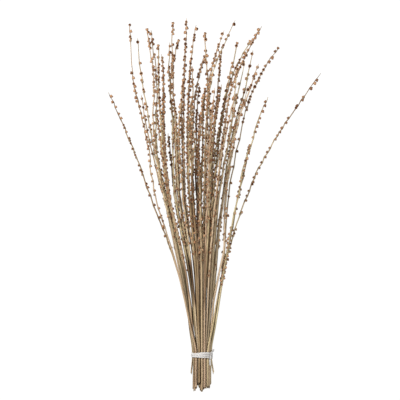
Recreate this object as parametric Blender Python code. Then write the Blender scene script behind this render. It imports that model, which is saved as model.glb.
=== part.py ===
"""A dried date branch bundle: fruit strands with their round caps, tied near the cut ends with white string.

The bundle lies along +Y on the plane z = 0, with its cut ends at -Y and its tips at +Y. The origin is on that
plane, under the middle of the tie. Sizes are in metres.
"""

import math

import bpy
import numpy as np
from mathutils.geometry import tessellate_polygon

# Each strand, from left to right: its tip's x and y, then its x where it passes each of ROUTE_LEVELS.
ROUTE_LEVELS = (0.18, 0.30, 0.42, 0.54)
STRANDS = (
    (-0.180, 0.504, -0.053, -0.098, -0.143),
    (-0.137, 0.633, -0.051, -0.088, -0.106, -0.135),
    (-0.115, 0.498, -0.047, -0.073, -0.103),
    (-0.106, 0.627, -0.042, -0.070, -0.093, -0.094),
    (-0.122, 0.606, -0.044, -0.072, -0.096, -0.117),
    (-0.099, 0.623, -0.040, -0.068, -0.089, -0.087),
    (-0.086, 0.466, -0.038, -0.066, -0.081),
    (-0.084, 0.594, -0.037, -0.064, -0.077, -0.083),
    (-0.075, 0.508, -0.036, -0.063, -0.074),
    (-0.078, 0.575, -0.034, -0.061, -0.071, -0.074),
    (-0.075, 0.393, -0.036, -0.063),
    (-0.064, 0.425, -0.030, -0.053),
    (-0.061, 0.598, -0.028, -0.051, -0.055, -0.063),
    (-0.052, 0.345, -0.027, -0.049),
    (-0.046, 0.606, -0.026, -0.045, -0.052, -0.059),
    (-0.052, 0.473, -0.024, -0.044, -0.050),
    (-0.055, 0.639, -0.022, -0.042, -0.048, -0.056),
    (-0.036, 0.527, -0.021, -0.036, -0.043),
    (-0.040, 0.487, -0.023, -0.035, -0.038),
    (-0.029, 0.647, -0.016, -0.034, -0.035, -0.033),
    (-0.035, 0.412, -0.014, -0.033),
    (-0.011, 0.633, -0.012, -0.025, -0.027, -0.024),
    (-0.023, 0.483, -0.013, -0.023, -0.024),
    (-0.019, 0.354, -0.011, -0.020),
    (0.007, 0.575, -0.008, -0.018, -0.018, -0.006),
    (-0.017, 0.552, -0.009, -0.017, -0.022, -0.017),
    (-0.015, 0.435, -0.006, -0.017, -0.016),
    (-0.004, 0.516, -0.005, -0.010, -0.012),
    (-0.004, 0.466, -0.004, -0.008, -0.007),
    (-0.002, 0.373, -0.003, -0.006),
    (0.003, 0.498, -0.001, -0.004, -0.004),
    (0.005, 0.512, 0.001, -0.001, 0.001),
    (0.010, 0.446, 0.002, 0.004, 0.008),
    (0.006, 0.617, 0.003, 0.005, 0.008, 0.011),
    (0.043, 0.623, 0.005, 0.008, 0.011, 0.016),
    (0.024, 0.510, 0.006, 0.010, 0.016),
    (0.063, 0.641, 0.007, 0.012, 0.015, 0.020),
    (0.021, 0.469, 0.007, 0.013, 0.019),
    (0.036, 0.517, 0.009, 0.014, 0.021),
    (0.038, 0.587, 0.010, 0.015, 0.023, 0.033),
    (0.069, 0.601, 0.011, 0.018, 0.030, 0.055),
    (0.033, 0.393, 0.012, 0.021),
    (0.093, 0.604, 0.014, 0.023, 0.034, 0.059),
    (0.064, 0.498, 0.015, 0.026, 0.044),
    (0.115, 0.630, 0.016, 0.027, 0.040, 0.066),
    (0.046, 0.454, 0.018, 0.028, 0.041),
    (0.067, 0.554, 0.020, 0.030, 0.052, 0.067),
    (0.081, 0.564, 0.022, 0.032, 0.055, 0.076),
    (0.048, 0.354, 0.025, 0.039),
    (0.063, 0.404, 0.027, 0.041),
    (0.099, 0.585, 0.028, 0.040, 0.059, 0.089),
    (0.109, 0.557, 0.0395, 0.045, 0.063, 0.102),
    (0.088, 0.516, 0.0405, 0.046, 0.061),
    (0.148, 0.592, 0.042, 0.051, 0.073, 0.113),
    (0.126, 0.494, 0.044, 0.067, 0.097),
    (0.090, 0.400, 0.045, 0.070),
    (0.228, 0.540, 0.047, 0.085, 0.143),
)

# Strand 52 leaves its neighbours low down and joins the rest: the y and x of one more place that it passes.
LOW_KNOTS = {52: (0.133, 0.027)}

# The strands that stand clear at the sides have the caps that show on them, by strand number: each cap's y,
# and 1 for the right side or -1 for the left.
SEEN_CAPS = {
    1: (
        (0.495, 1), (0.485, -1), (0.475, 1), (0.462, 1), (0.453, 1), (0.435, -1), (0.427, 1), (0.415, 1),
        (0.398, -1), (0.363, -1), (0.361, 1), (0.351, -1), (0.320, 1), (0.286, 1), (0.262, 1), (0.241, 1),
        (0.227, -1), (0.204, 1),
    ),
    2: (
        (0.618, 1), (0.608, -1), (0.539, -1), (0.529, 1), (0.513, 1), (0.505, -1), (0.492, -1), (0.450, 1),
        (0.437, -1), (0.426, 1), (0.407, 1), (0.394, -1), (0.383, -1), (0.371, -1), (0.361, 1), (0.346, 1),
        (0.332, -1), (0.314, 1), (0.280, 1), (0.246, -1),
    ),
    54: (
        (0.582, -1), (0.571, 1), (0.563, 1), (0.557, -1), (0.550, 1), (0.546, -1), (0.539, -1), (0.531, -1),
        (0.514, -1), (0.502, -1), (0.495, 1), (0.484, -1), (0.453, 1), (0.446, -1), (0.413, -1), (0.390, 1),
        (0.360, -1), (0.329, 1), (0.300, -1), (0.266, 1), (0.217, 1), (0.176, -1), (0.149, 1),
    ),
    55: (
        (0.484, -1), (0.480, 1), (0.466, 1), (0.463, -1), (0.448, 1), (0.443, -1), (0.437, 1), (0.427, 1),
        (0.416, -1), (0.394, -1), (0.386, 1), (0.376, 1), (0.362, 1), (0.350, 1), (0.339, 1), (0.332, -1),
        (0.300, -1), (0.271, 1), (0.243, -1), (0.221, -1), (0.189, 1), (0.167, 1), (0.134, -1),
    ),
    57: (
        (0.521, 1), (0.519, -1), (0.511, 1), (0.489, 1), (0.477, -1), (0.445, 1), (0.434, -1), (0.427, 1),
        (0.420, -1), (0.413, 1), (0.399, -1), (0.391, -1), (0.382, 1), (0.368, -1), (0.358, 1), (0.347, 1),
        (0.339, -1), (0.331, 1), (0.301, -1), (0.273, 1), (0.240, 1), (0.201, 1), (0.182, 1), (0.134, 1),
    ),
}
# Strands whose tip is a cap. The others end in a bare thread.
CAPPED_TIPS = (2, 4, 8, 15, 17, 18, 19, 25, 31, 32, 34, 41, 43, 46, 54, 56)
# The leftmost and the rightmost stem end short and stand away from the rest: y and x of their cut ends.
SPLAYED_ENDS = ((-0.0395, -0.0210), (-0.0390, 0.0230))
# The uneven line that the other cut ends reach: its x and y from left to right. Most strands stop near it.
CUT_LINE_X = (-0.0160, -0.0150, -0.0115, -0.0100, -0.0045, -0.0025, 0.0025, 0.0045, 0.0200)
CUT_LINE_Y = (-0.044, -0.073, -0.073, -0.065, -0.065, -0.073, -0.072, -0.067, -0.066)
CUT_SHORT = 0.012  # the furthest that a strand stops short of it

# Where the strands run
LAYOUT_SEED = 11
BUNDLE_HEIGHT = 0.150
HALF_SPREAD = 0.24  # strands that lean further out to a side rise less, and one this far out doesn't rise
LOWEST_AIM = -0.030  # strands that would bend below the plane lie along it instead
RISE_CURVE = 1.2  # 1 is a straight rise from the tie to the tip, and more is a curve that steepens
LIFT_STEP = 0.618034  # neighbours get unlike heights, evenly spread
FIRST_LIFT = 0.35
KINK_SEED = 5
KINK = 0.0015  # how far a strand strays at a level
KINKED_FROM = (0.20, 0.35)  # the strands start to stray at the first height and do so fully past the second
KINKED_TO = -0.06  # and also where they come out under the tie, fully from here down
LEVEL_STEP = 0.05
LEVELS = np.array([-0.074, -0.042, 0.0] + [LEVEL_STEP * step for step in range(1, 14)])
TIE_LEVEL = 2

# How strands that touch are bent clear of each other
GAP = 0.0004
BENDING_ROUNDS = 500
SETTLING_ROUNDS = 120  # the last rounds only push
PUSH_AT_LEVELS = 0.9
PUSH_BETWEEN = 0.45
PUSH_SHARES = np.array([0.4, 1.0])  # across and up: the strands keep the places that show from above
SMOOTHING = 0.12
KEPT_BEND = 0.997

# Stems
THICKEST_STEM = 0.0020
THINNEST_STEM = 0.0013
TAPER_FROM = 0.10
KEPT_TO_TAPER = 0.92  # the share of its thickness that a stem still has where it starts to taper
TAPER_TO = 0.30
STEM_IN_CAPS = 0.00140
STEM_AT_TIP = 0.00110
SIDES = 4
SQUARE_REACH = 1.15  # a square stem's corners reach this many times its stated radius
LEAST_RING_STEP = 0.011

# Caps, the round bases that held the fruit
CAP_SEED = 23
CAP_WIDTH = 0.0056
CAP_HEIGHT = 0.0048
CAP_REACH = 0.0034  # from a cap's middle to its corners
CAP_ROOT_SHARE = 0.62  # a cap's root is this share of the stem's side in width
CAP_ROOT_LENGTH = 0.0009
CAP_WIDEST_HALF = 0.42 * CAP_WIDTH
CAP_WIDEST_AT = 0.45 * CAP_HEIGHT
CAP_SPACING = 0.034
CAP_JITTER = 0.3  # a cap moves up or down by up to this share of the spacing
CAP_SHIFTS = (0.0, 0.003, -0.003, 0.006)  # the places tried for a cap, up or down from the one asked for
CAP_ROOM = 0.0015  # the extra room a strand keeps along its caps
CAP_EASE = 0.04  # the length over which that room starts
CAP_FROM_RING = 0.0025
CAP_FROM_CAP = 0.0066
CAP_FROM_TIP = 0.003
LAST_CAP_FROM_TIP = 0.008
FIRST_CAP = (0.185, 0.28)
CORNER_SIGNS = ((-1, -1), (-1, 1), (1, 1), (1, -1))

# Capped tips: a neck, the widest ring and the end, measured back from the tip
TIP_NECK = 0.0048
TIP_WIDEST = 0.0024
TIP_RADII = (0.54 * CAP_WIDTH, 0.22 * CAP_WIDTH)
TIP_FLOOR_LENGTH = 0.06  # a strand with a capped tip keeps a cap's height over the plane along this length

# Tie
STRING_THICKNESS = 0.0014
STRING_WRAPS = 3
STRING_WIDTH = 0.0036
STRING_GROOVE = 0.0003
TIE_DIRECTIONS = 24
TIE_FLATNESS = 1.16
SLOT_GRID = 8  # rows of places for stems each side of the middle, more than are used
STRANDS_SORTED_TOGETHER = 10
HELD_LENGTH = 0.009  # the stems run straight this far each side of the tie's middle
TAIL_NORMAL = math.radians(35)  # the side of the bundle that the string's tail lies on
TAIL_RINGS = (  # y, distance from the stems and half width
    (-0.001, 0.0008, 0.0018),
    (-0.011, 0.0011, 0.0018),
    (-0.022, 0.0020, 0.0013),
)
TAIL_THICKNESS = 0.0009
KNOT_NORMAL = math.radians(8)
KNOT_Y = 0.0068
KNOT_RADIUS = 0.0027
KNOT_OUT = 0.0026
KNOT_SHAPE = (0.75, 1.35, 1.0)

# Colours
PALE_STEM = np.array([0.50, 0.37, 0.23])
DARK_STEM = np.array([0.27, 0.17, 0.10])
WHITE = (0.80, 0.79, 0.77)
DRY_ROUGHNESS = 0.75
STRING_ROUGHNESS = 0.6


def smooth_through(knot_y, knot_x, y):
    """x at y on a cubic curve through the knots, carried on straight past the last one."""
    slope = np.gradient(knot_x, knot_y)
    cell = np.clip(np.searchsorted(knot_y, y) - 1, 0, len(knot_y) - 2)
    width = knot_y[cell + 1] - knot_y[cell]
    t = np.clip((y - knot_y[cell]) / width, 0, 1)
    start, end = knot_x[cell], knot_x[cell + 1]
    curve = start * (2 * t**3 - 3 * t**2 + 1) + end * (3 * t**2 - 2 * t**3)
    curve += width * (slope[cell] * (t**3 - 2 * t**2 + t) + slope[cell + 1] * (t**3 - t**2))
    return curve + slope[-1] * np.maximum(y - knot_y[-1], 0)


def tie_slots(count):
    """Places for the stems inside the tie: a close-packed grid, cut to a flattened circle."""
    pitch = SQUARE_REACH * (THICKEST_STEM + THINNEST_STEM) + GAP
    rows, columns = np.mgrid[-SLOT_GRID : SLOT_GRID + 1, -SLOT_GRID : SLOT_GRID + 1]
    x = (columns + 0.5 * (rows % 2)).ravel() * pitch
    z = rows.ravel() * pitch * math.sqrt(3) / 2
    nearest = np.argsort(np.hypot(x, z * TIE_FLATNESS), kind="stable")[:count]
    return x[nearest], z[nearest]


def assigned_slots(lifts):
    """One slot for each strand: left strands get left slots, and low strands get the low ones among them."""
    x, z = tie_slots(len(lifts))
    by_x = np.argsort(x, kind="stable")
    slots = np.empty((len(lifts), 2))
    for first in range(0, len(lifts), STRANDS_SORTED_TOGETHER):
        places = by_x[first : first + STRANDS_SORTED_TOGETHER]
        places = places[np.argsort(z[places], kind="stable")]
        strands = first + np.argsort(lifts[first : first + STRANDS_SORTED_TOGETHER], kind="stable")
        slots[strands, 0] = x[places]
        slots[strands, 1] = z[places]
    slots[:, 1] -= slots[:, 1].min() - (STRING_THICKNESS + GAP + SQUARE_REACH * THINNEST_STEM)
    return slots


def outermost(slots):
    """The strands that have the leftmost and the rightmost slot."""
    return slots[:, 0].argmin(), slots[:, 0].argmax()


def stem_radii(bases, tips, y):
    """Each stem's radius at each height y, shape (strands, heights)."""
    radii = []
    for base, tip in zip(bases, tips):
        thicknesses = (base, KEPT_TO_TAPER * base, STEM_IN_CAPS, STEM_AT_TIP)
        radii.append(np.interp(y, (0.0, TAPER_FROM, TAPER_TO, tip), thicknesses))
    return np.array(radii)


def first_routes(slots, lifts):
    """Each strand's x and z at each level before it is bent clear, shape (strands, levels, 2)."""
    routes = np.empty((len(STRANDS), len(LEVELS), 2))
    upward = np.maximum(LEVELS, 0)
    for number, (tip_x, tip_y, *passed) in enumerate(STRANDS):
        low_y, low_x = LOW_KNOTS.get(number + 1, (0.0, slots[number, 0]))
        knot_y = np.array([0.0, low_y, *ROUTE_LEVELS[: len(passed)], tip_y])
        knot_x = np.array([slots[number, 0], low_x, *passed, tip_x])
        apart = np.append(np.diff(knot_y) > 0.02, True)
        routes[number, :, 0] = smooth_through(knot_y[apart], knot_x[apart], upward)
        rise = BUNDLE_HEIGHT * lifts[number] * math.sqrt(1 - (tip_x / HALF_SPREAD) ** 2) + LOWEST_AIM
        routes[number, :, 1] = slots[number, 1] + rise * (upward / tip_y) ** RISE_CURVE
    draw = np.random.default_rng(KINK_SEED)
    astray = np.interp(LEVELS, (KINKED_TO, 0.0, *KINKED_FROM), (1, 0, 0, 1))
    routes += draw.uniform(-KINK, KINK, routes.shape) * astray[:, None]
    for strand, (_, end_x) in zip(outermost(slots), SPLAYED_ENDS):
        routes[strand, :TIE_LEVEL, 0] = end_x
    return routes


def pushes(places, sizes, present):
    """How far each strand is pushed at each level by the strands that are too near it there."""
    apart = places[:, None] - places[None]
    distance = np.linalg.norm(apart, axis=-1) + 1e-9
    short = np.maximum(sizes[:, None] + sizes[None] - distance, 0)
    short *= present[:, None] & present[None] & ~np.eye(len(places), dtype=bool)[:, :, None]
    return PUSH_SHARES * (apart * (short / distance / 2)[..., None]).sum(axis=1)


def bent_clear(routes, sizes, floors, present):
    """The routes moved apart until no two strands touch, with the moves spread smoothly along each strand."""
    moved = np.zeros_like(routes)
    half_sizes = (sizes[:, 1:] + sizes[:, :-1]) / 2
    half_present = present[:, 1:] & present[:, :-1]
    for turn in range(BENDING_ROUNDS):
        places = routes + moved
        moved += PUSH_AT_LEVELS * pushes(places, sizes, present)
        between = pushes((places[:, 1:] + places[:, :-1]) / 2, half_sizes, half_present)
        moved[:, 1:] += PUSH_BETWEEN * between
        moved[:, :-1] += PUSH_BETWEEN * between
        if turn < BENDING_ROUNDS - SETTLING_ROUNDS:
            spread = moved.copy()
            spread[:, 1:-1] = (moved[:, 2:] + moved[:, :-2]) / 2
            moved += SMOOTHING * (spread - moved)
            moved *= KEPT_BEND
        moved[..., 1] += np.maximum(floors - (routes + moved)[..., 1], 0)
    return routes + moved


def ring_heights(tip, end):
    """The heights at which a strand has a ring of corners, and the level each one's place is read at."""
    lower = [end] + [y for y in LEVELS[:TIE_LEVEL] if y > end + LEAST_RING_STEP]
    upper = [y for y in LEVELS[TIE_LEVEL + 1 :] if y < tip - LEAST_RING_STEP]
    heights = lower + [-HELD_LENGTH, HELD_LENGTH] + upper + [tip]
    read_at = lower + [0.0, 0.0] + upper + [tip]
    return np.array(heights), np.array(read_at)


def face_direction(turn, side):
    """Across the stem, straight out of one of its sides."""
    angle = turn + (side + 0.5) * 2 * math.pi / SIDES
    return np.array([math.cos(angle), 0.0, math.sin(angle)])


class Bundle:
    """Where every strand runs, how thick it is, and how it is turned."""

    def __init__(self):
        count = len(STRANDS)
        draw = np.random.default_rng(LAYOUT_SEED)
        self.tips = np.array([row[1] for row in STRANDS])
        self.bases = draw.uniform(THINNEST_STEM, THICKEST_STEM, count)
        self.first_caps = draw.uniform(*FIRST_CAP, count)
        self.turns = draw.uniform(0, math.pi / 2, count)
        lifts = (FIRST_LIFT + LIFT_STEP * np.arange(count)) % 1
        slots = assigned_slots(lifts)
        ends = np.interp(slots[:, 0], CUT_LINE_X, CUT_LINE_Y) + CUT_SHORT * draw.random(count) ** 2
        for strand in SEEN_CAPS:
            self.turns[strand - 1] = math.pi / 4
        for strand, (end_y, _) in zip(outermost(slots), SPLAYED_ENDS):
            ends[strand] = end_y
            self.bases[strand] = THINNEST_STEM
        corners = SQUARE_REACH * stem_radii(self.bases, self.tips, LEVELS)
        in_caps = np.clip((LEVELS - self.first_caps[:, None] + CAP_EASE) / CAP_EASE, 0, 1)
        sizes = corners + GAP / 2 + CAP_ROOM * in_caps
        floors = corners.copy()
        floors[:, TIE_LEVEL] += STRING_THICKNESS + GAP
        for strand in CAPPED_TIPS:
            floors[strand - 1, LEVELS > self.tips[strand - 1] - TIP_FLOOR_LENGTH] = CAP_REACH
        present = LEVELS < self.tips[:, None] + LEVEL_STEP
        places = bent_clear(first_routes(slots, lifts), sizes, floors, present)
        self.tie_places = places[:, TIE_LEVEL]
        self.routes = []
        for number in range(count):
            heights, read_at = ring_heights(self.tips[number], ends[number])
            x = np.interp(read_at, LEVELS, places[number, :, 0])
            z = np.interp(read_at, LEVELS, places[number, :, 1])
            self.routes.append(np.stack([x, heights, z], axis=1))

    def at(self, number, y):
        """The middle of a strand at height y, or at each of several."""
        route = self.routes[number]
        x = np.interp(y, route[:, 1], route[:, 0])
        z = np.interp(y, route[:, 1], route[:, 2])
        return np.stack([x, np.broadcast_to(y, x.shape), z], axis=-1)

    def radius(self, number, y):
        return stem_radii(self.bases[number : number + 1], self.tips[number : number + 1], y)[0]

    def cap_middle(self, number, y, side):
        """The middle of a cap that stands on one side of a strand."""
        out = 0.8 * self.radius(number, y) + 0.5 * CAP_HEIGHT
        return self.at(number, y) + out * face_direction(self.turns[number], side)

    def room(self, own, middle):
        """How far a point is from the surface of the nearest other strand."""
        nearest = 1.0
        heights = middle[1] + np.linspace(-0.004, 0.004, 5)
        for number, route in enumerate(self.routes):
            here = heights[(heights >= route[0, 1]) & (heights <= route[-1, 1])]
            if number == own or not len(here):
                continue
            away = np.linalg.norm(self.at(number, here) - middle, axis=1)
            nearest = min(nearest, away.min() - SQUARE_REACH * self.radius(number, middle[1]))
        return nearest


def asked_caps(bundle, number, draw):
    """The caps that one strand is asked for: each one's y, and the sides it may stand on."""
    if number + 1 in SEEN_CAPS:
        outward = {1: (3, 0, 2), -1: (1, 0, 2)}
        return [(y, outward[side]) for y, side in SEEN_CAPS[number + 1]]
    first, last = bundle.first_caps[number], bundle.tips[number] - LAST_CAP_FROM_TIP
    count = max(2, round((last - first) / CAP_SPACING))
    spaced = np.linspace(first, last, count)
    spaced[1:-1] += draw.uniform(-CAP_JITTER, CAP_JITTER, count - 2) * (last - first) / count
    return [(y, tuple(draw.permutation(SIDES))) for y in spaced[::-1]]


def has_room(bundle, number, y, side, own, taken):
    """Whether a cap at y on this side is clear of its strand's rings, the plane and everything else."""
    from_ring = np.abs(bundle.routes[number][:, 1] - y).min()
    if y > bundle.tips[number] - CAP_FROM_TIP or from_ring < CAP_FROM_RING:
        return False
    if any(abs(y - other) < CAP_FROM_CAP for other, _ in own):
        return False
    middle = bundle.cap_middle(number, y, side)
    if middle[2] < CAP_REACH or bundle.room(number, middle) < CAP_REACH + GAP:
        return False
    return all(np.linalg.norm(middle - other) >= 2 * CAP_REACH + GAP for other in taken)


def place_caps(bundle):
    """A list of (y, side) for each strand, with every cap clear of the other strands and of their caps."""
    draw = np.random.default_rng(CAP_SEED)
    placed = []
    taken = []
    for number in range(len(STRANDS)):
        own = []
        for asked, sides in asked_caps(bundle, number, draw):
            choices = [(asked + shift, side) for shift in CAP_SHIFTS for side in sides]
            own += [choice for choice in choices if has_room(bundle, number, *choice, own, taken)][:1]
        taken += [bundle.cap_middle(number, y, side) for y, side in own]
        placed.append(own)
    return placed


def stem_rings(bundle, number):
    """The middles and the corner radii of a strand's rings, with a swollen end where its tip is a cap."""
    route = bundle.routes[number]
    radii = SQUARE_REACH * bundle.radius(number, route[:, 1])
    if number + 1 in CAPPED_TIPS:
        extra = bundle.at(number, route[-1, 1] - np.array([TIP_NECK, TIP_WIDEST]))
        route = np.vstack([route[:-1], extra, route[-1:]])
        radii = np.append(radii, TIP_RADII)
    return route, radii


def raise_cap(points, faces, middle, across, upward, out):
    """Adds a cap on a stem's side at middle, its root, widest ring and top, and returns its root's corners.

    across is half the side's width, upward runs along the side, and out points away from it.
    """
    sideways = across / np.linalg.norm(across)
    first = len(points)
    for u, v in CORNER_SIGNS:
        points.append(tuple(middle + u * CAP_ROOT_SHARE * across + v * CAP_ROOT_LENGTH * upward))
    for u, v in CORNER_SIGNS:
        points.append(tuple(middle + CAP_WIDEST_HALF * (u * sideways + v * upward) + CAP_WIDEST_AT * out))
    points.append(tuple(middle + CAP_HEIGHT * out))
    for corner in range(4):
        near, beside = first + corner, first + (corner + 1) % 4
        faces.append((near, beside, beside + 4, near + 4))
        faces.append((near + 4, beside + 4, first + 8))
    return range(first, first + 4)


def split_face(corners, holes):
    """Triangles that fill a flat side of a stem around the roots of its caps, as corner numbers."""
    loops = [corners] + holes
    flat = np.array([point for loop in loops for point in loop])
    triangles = []
    for a, b, c in tessellate_polygon([[(*point, 0.0) for point in loop] for loop in loops]):
        first, second = flat[b] - flat[a], flat[c] - flat[a]
        inward = first[0] * second[1] - first[1] * second[0] < 0
        triangles.append((a, b, c) if inward else (a, c, b))
    return triangles


def side_with_caps(points, faces, quad, heights, out):
    """Adds one side of a stem between two rings, with a cap raised at each height above the lower ring."""
    left_low, left_high, right_high, right_low = (np.array(points[corner]) for corner in quad)
    length = left_high[1] - left_low[1]
    left_slope, right_slope = (left_high - left_low) / length, (right_high - right_low) / length
    numbers = list(quad)
    holes = []
    for height in heights:
        left, right = left_low + left_slope * height, right_low + right_slope * height
        across = (right - left) / 2
        upward = (left_slope + right_slope) / 2
        numbers += raise_cap(points, faces, (left + right) / 2, across, upward, out)
        width = 2 * np.linalg.norm(across)
        inset = width * (1 - CAP_ROOT_SHARE) / 2
        low, high = height - CAP_ROOT_LENGTH, height + CAP_ROOT_LENGTH
        holes.append([(inset, low), (inset, high), (width - inset, high), (width - inset, low)])
    outline = [(0.0, 0.0), (0.0, length), (width, length), (width, 0.0)]
    faces += [tuple(numbers[corner] for corner in triangle) for triangle in split_face(outline, holes)]


def make_strand(bundle, number, caps, material):
    """One strand: a tapered four-sided stem along its route, with its caps raised out of its sides."""
    route, radii = stem_rings(bundle, number)
    turn = bundle.turns[number]
    angles = turn + np.arange(SIDES) * 2 * math.pi / SIDES
    rim = np.stack([np.cos(angles), np.zeros(SIDES), np.sin(angles)], axis=1)
    points = [tuple(point) for point in (route[:, None] + radii[:, None, None] * rim).reshape(-1, 3)]
    faces = [tuple(range(SIDES)), tuple(range(len(points) - 1, len(points) - SIDES - 1, -1))]
    for ring, (low, high) in enumerate(zip(route[:-1, 1], route[1:, 1])):
        for side in range(SIDES):
            near, beside = ring * SIDES + side, ring * SIDES + (side + 1) % SIDES
            quad = (near, near + SIDES, beside + SIDES, beside)
            heights = sorted(y - low for y, at_side in caps if at_side == side and low < y < high)
            if heights:
                side_with_caps(points, faces, quad, heights, face_direction(turn, side))
            else:
                faces.append(quad)
    mesh_object(f"strand_{number + 1:02d}", points, faces, material)


def mesh_object(name, points, faces, material):
    mesh = bpy.data.meshes.new(name)
    mesh.from_pydata(points, [], faces)
    mesh.materials.append(material)
    thing = bpy.data.objects.new(name, mesh)
    bpy.context.scene.collection.objects.link(thing)
    return thing


def taut_outline(places, radii, offset):
    """The corners of a taut string's loop: straight lines that touch the stems, moved out by offset.

    The first line is the underside, which lies flat on the plane.
    """
    angles = -math.pi / 2 + np.arange(TIE_DIRECTIONS) * 2 * math.pi / TIE_DIRECTIONS
    normals = np.stack([np.cos(angles), np.sin(angles)], axis=1)
    reach = (places @ normals.T + radii[:, None]).max(axis=0) + GAP + offset
    reach[0] = offset - STRING_THICKNESS
    following = np.roll(normals, -1, axis=0)
    far = np.roll(reach, -1)
    turn = normals[:, 0] * following[:, 1] - normals[:, 1] * following[:, 0]
    x = (reach * following[:, 1] - far * normals[:, 1]) / turn
    z = (far * normals[:, 0] - reach * following[:, 0]) / turn
    return np.stack([x, z], axis=1)


def string_loop(bundle, material):
    """The wraps of the tie: flat string side by side round the stems, one closed ring."""
    half = STRING_WRAPS * STRING_WIDTH / 2
    profile = [(-half, 0.0)]
    for wrap in range(STRING_WRAPS):
        start, end = wrap * STRING_WIDTH - half, (wrap + 1) * STRING_WIDTH - half
        profile += [(start + STRING_GROOVE, STRING_THICKNESS), (end - STRING_GROOVE, STRING_THICKNESS)]
        if wrap < STRING_WRAPS - 1:
            profile.append((end, STRING_THICKNESS - STRING_GROOVE))
    profile.append((half, 0.0))
    points = []
    for y, out in profile:
        points += [(x, y, z) for x, z in taut_outline(bundle.tie_places, SQUARE_REACH * bundle.bases, out)]
    faces = []
    for row in range(len(profile)):
        first, above = row * TIE_DIRECTIONS, (row + 1) % len(profile) * TIE_DIRECTIONS
        for column in range(TIE_DIRECTIONS):
            beside = (column + 1) % TIE_DIRECTIONS
            faces.append((first + column, above + column, above + beside, first + beside))
    return mesh_object("string_tie", points, faces, material)


def outer_place(bundle, normal, out):
    """The point on the outermost stem that faces along normal, moved out by a further distance, as (x, z)."""
    facing = np.array([math.cos(normal), math.sin(normal)])
    reach = bundle.tie_places @ facing + SQUARE_REACH * bundle.bases
    outermost = bundle.tie_places[reach.argmax()]
    return outermost + facing * (reach.max() - outermost @ facing + out)


def string_tail(bundle, material):
    """The string's short end, a flat strip that comes out from under the wraps and lies along the stems."""
    out = np.array([math.cos(TAIL_NORMAL), math.sin(TAIL_NORMAL)])
    across = np.array([-out[1], out[0]])
    points = []
    for y, lift, half in TAIL_RINGS:
        foot = outer_place(bundle, TAIL_NORMAL, lift)
        for side, thick in ((-1, 0), (1, 0), (1, 1), (-1, 1)):
            x, z = foot + across * side * half + out * thick * TAIL_THICKNESS
            points.append((x, y, z))
    faces = [(0, 1, 2, 3), (11, 10, 9, 8)]
    for ring in (0, 4):
        for corner in range(4):
            following = (corner + 1) % 4
            faces.append((ring + corner, ring + 4 + corner, ring + 4 + following, ring + following))
    return mesh_object("tail", points, faces, material)


def string_knot(bundle):
    """The small twisted knot at the right of the wraps."""
    x, z = outer_place(bundle, KNOT_NORMAL, KNOT_OUT)
    bpy.ops.mesh.primitive_ico_sphere_add(subdivisions=2, radius=KNOT_RADIUS, location=(x, KNOT_Y, z))
    knot = bpy.context.active_object
    knot.scale = KNOT_SHAPE
    return knot


def make_tie(bundle, material):
    """The string tie: its wraps, tail and knot joined in one body."""
    loop = string_loop(bundle, material)
    ends = bpy.data.collections.new("string_ends")
    bpy.context.scene.collection.children.link(ends)
    for thing in (string_tail(bundle, material), string_knot(bundle)):
        for holder in list(thing.users_collection):
            holder.objects.unlink(thing)
        ends.objects.link(thing)
    union = loop.modifiers.new("string_ends", "BOOLEAN")
    union.operation = "UNION"
    union.operand_type = "COLLECTION"
    union.collection = ends
    union.solver = "EXACT"
    graph = bpy.context.evaluated_depsgraph_get()
    joined = bpy.data.meshes.new_from_object(loop.evaluated_get(graph))
    loop.modifiers.clear()
    loop.data = joined
    for thing in list(ends.objects):
        bpy.data.objects.remove(thing)
    bpy.data.collections.remove(ends)


def dry_material(name, colour, roughness):
    material = bpy.data.materials.new(name)
    material.use_nodes = True
    shader = material.node_tree.nodes["Principled BSDF"]
    shader.inputs["Base Color"].default_value = (*colour, 1.0)
    shader.inputs["Roughness"].default_value = roughness
    shader.inputs["Metallic"].default_value = 0.0
    material.diffuse_color = (*colour, 1.0)
    return material


def main():
    for thing in list(bpy.data.objects):
        bpy.data.objects.remove(thing)
    bundle = Bundle()
    for number, caps in enumerate(place_caps(bundle)):
        darkness = (number * LIFT_STEP) % 1
        colour = PALE_STEM + (DARK_STEM - PALE_STEM) * darkness**2
        material = dry_material(f"dried_strand_{number + 1:02d}", colour, DRY_ROUGHNESS)
        make_strand(bundle, number, caps, material)
    make_tie(bundle, dry_material("white_string", WHITE, STRING_ROUGHNESS))


main()
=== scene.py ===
"""A dried date branch bundle, lying on a pale floor and seen from straight above.

Each strand follows the line of its CAD node and stands for it: a ribbed, kinked stem with a woody cup at every
place where a fruit hung. The flat white string is wound round the stems where the CAD ring is. Sizes are in metres,
+Y runs from the cut ends to the tips, and +Z is up.
"""

import math

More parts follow.
